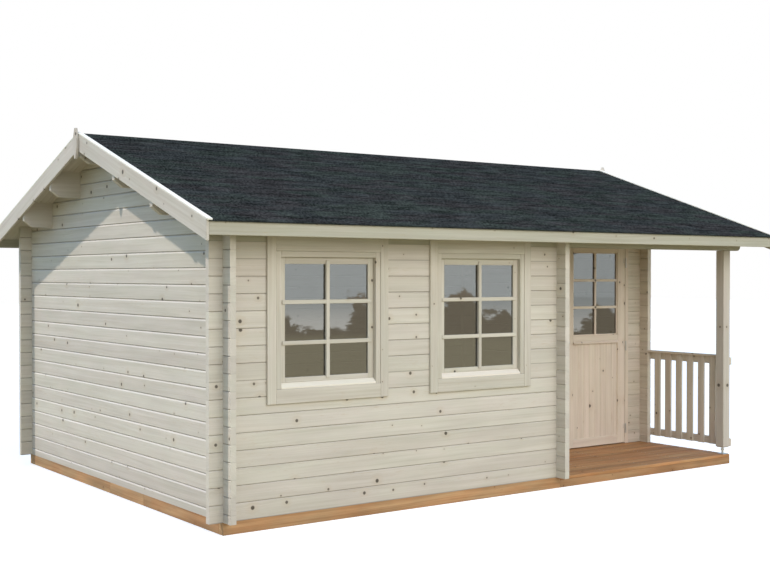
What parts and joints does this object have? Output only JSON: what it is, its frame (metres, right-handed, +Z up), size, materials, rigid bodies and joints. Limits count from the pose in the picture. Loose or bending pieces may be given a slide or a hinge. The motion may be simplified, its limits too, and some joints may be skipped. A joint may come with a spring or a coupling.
{
  "type": "log cabin garden shed",
  "caption": "Log cabin garden shed with a saddle roof, glazed windows in its front wall and a corner porch with post, railing and a half-glazed door that swings outwards.",
  "frame": {"origin": "middle of the roof's outline, on the ground under the base beams", "axes": "+X along the front wall towards the porch, +Y from the front to the back, +Z up"},
  "size_m": [5.67, 4.278, 2.8055],
  "materials": {
    "log_wood": "pale whitewashed softwood logs",
    "board_wood": "pale whitewashed planed softwood",
    "treated_wood": "brown pressure-treated softwood",
    "door_wood": "pale beige planed softwood",
    "shingles": "anthracite bitumen shingles with mineral granules",
    "glass": "clear float glass",
    "galvanised_steel": "zinc-plated steel"
  },
  "bodies": {
    "cabin": {"base_long_beams": "treated_wood", "base_side_beams": "treated_wood", "floor_joists": "treated_wood", "porch_front_beam": "treated_wood", "porch_joists": "treated_wood", "floor_boards": "board_wood", "porch_deck": "treated_wood", "front_wall_lower": "log_wood", "front_wall_piers": "log_wood", "front_wall_head": "log_wood", "front_beam": "log_wood", "left_gable_wall": "log_wood", "right_gable_lower": "log_wood", "right_gable_upper": "log_wood", "back_wall": "log_wood", "cross_wall": "log_wood", "door_wall_left": "log_wood", "door_wall_right": "log_wood", "door_wall_head": "log_wood", "window_casings": "board_wood", "window_frames": "board_wood", "window_sashes": "board_wood", "window_glass": "glass", "door_frame": "board_wood", "frame_hinges": "galvanised_steel", "porch_post": "board_wood", "post_foot": "galvanised_steel", "railing_rails": "board_wood", "railing_cap": "board_wood", "railing_balusters": "board_wood", "ridge_purlin": "board_wood", "purlins": "board_wood", "roof_boards_front": "board_wood", "roof_boards_back": "board_wood", "shingles_front": "shingles", "shingles_back": "shingles", "eaves_boards": "board_wood", "barge_boards_front": "board_wood", "barge_boards_back": "board_wood", "barge_caps_front": "board_wood", "barge_caps_back": "board_wood", "finials": "board_wood"},
    "door": {"door_leaf": "door_wood", "door_panel": "door_wood", "door_glass": "glass", "door_hinges": "galvanised_steel", "door_handle": "galvanised_steel"}
  },
  "joints": [
    {"name": "door_swing", "type": "hinge", "parent": "cabin", "child": "door", "pos_m": [2.3005, -0.814, 1], "axis": [0, 0, 1], "range_deg": [0, 100]}
  ]
}
